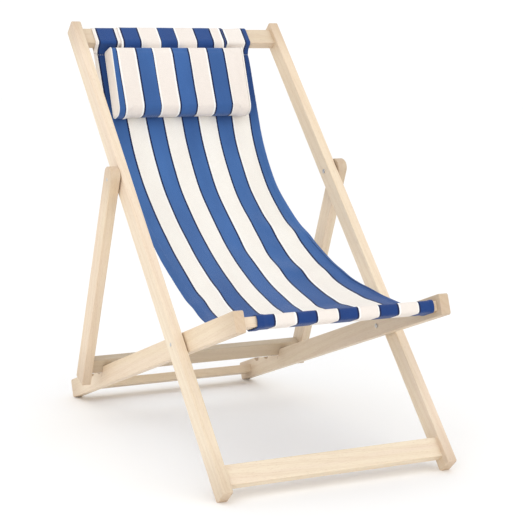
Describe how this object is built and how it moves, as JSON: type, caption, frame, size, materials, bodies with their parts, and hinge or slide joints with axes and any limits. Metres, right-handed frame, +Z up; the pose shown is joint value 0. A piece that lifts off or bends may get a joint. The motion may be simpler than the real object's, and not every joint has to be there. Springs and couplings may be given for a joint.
{
  "type": "folding sling deck chair",
  "caption": "Wooden folding deck chair: two crossed frames and a rear prop, a striped canvas sling hung between them and a small headrest pad strapped over the top rail.",
  "frame": {"origin": "centre of the chair's box, on the floor", "axes": "+Z up, +Y towards the rear of the chair, the sitter faces -Y, +X to the sitter's left-hand side seen from the front as right"},
  "size_m": [0.5816, 0.9362, 0.9082],
  "materials": {
    "wood_rails": "satin",
    "wood_bars": "satin",
    "beech_dowel": "matte",
    "sleeve_steel": "satin",
    "screw_steel": "satin",
    "washer_nylon": "matte",
    "canvas_sling": "matte",
    "canvas_pad": "matte",
    "pad_fibre": "matte"
  },
  "bodies": {
    "back_frame": {"back_rail_left": "wood_rails", "back_rail_right": "wood_rails", "top_rail": "wood_bars", "top_rail_dowels": "beech_dowel", "foot_crossbar": "wood_bars", "foot_crossbar_dowels": "beech_dowel", "seat_pivot_sleeve_left": "sleeve_steel", "seat_pivot_sleeve_right": "sleeve_steel", "seat_pivot_screw_left": "screw_steel", "seat_pivot_screw_right": "screw_steel", "seat_pivot_washer_left": "washer_nylon", "seat_pivot_washer_right": "washer_nylon", "prop_pivot_sleeve_left": "sleeve_steel", "prop_pivot_sleeve_right": "sleeve_steel", "prop_pivot_screw_left": "screw_steel", "prop_pivot_screw_right": "screw_steel", "prop_pivot_washer_left": "washer_nylon", "prop_pivot_washer_right": "washer_nylon", "sling": "canvas_sling", "headrest_strap": "canvas_pad"},
    "seat_frame": {"seat_rail_left": "wood_rails", "seat_rail_right": "wood_rails", "seat_front_bar": "wood_bars", "seat_front_bar_dowels": "beech_dowel", "seat_rear_bar": "wood_bars", "seat_rear_bar_dowels": "beech_dowel"},
    "prop_frame": {"prop_leg_left": "wood_rails", "prop_leg_right": "wood_rails", "prop_bar": "wood_bars", "prop_bar_dowels": "beech_dowel"},
    "headrest": {"headrest_cover": "canvas_pad", "headrest_filling": "pad_fibre"}
  },
  "joints": [
    {"name": "seat_fold", "type": "hinge", "parent": "back_frame", "child": "seat_frame", "pos_m": [0, -0.21454, 0.26493], "axis": [1, 0, 0], "range_deg": [0, 66.4], "deforming": ["sling"]},
    {"name": "prop_fold", "type": "hinge", "parent": "back_frame", "child": "prop_frame", "pos_m": [0, 0.07725, 0.57241], "axis": [1, 0, 0], "range_deg": [0, 117.5]},
    {"name": "headrest_tilt", "type": "hinge", "parent": "back_frame", "child": "headrest", "pos_m": [0, 0.33328, 0.8424], "axis": [1, 0, 0], "range_deg": [-50, 0]}
  ],
  "couplings": [
    {"joint": "prop_fold", "follows": "seat_fold", "ratio": 1.7668},
    {"joint": "headrest_tilt", "follows": "seat_fold", "ratio": -0.75}
  ]
}
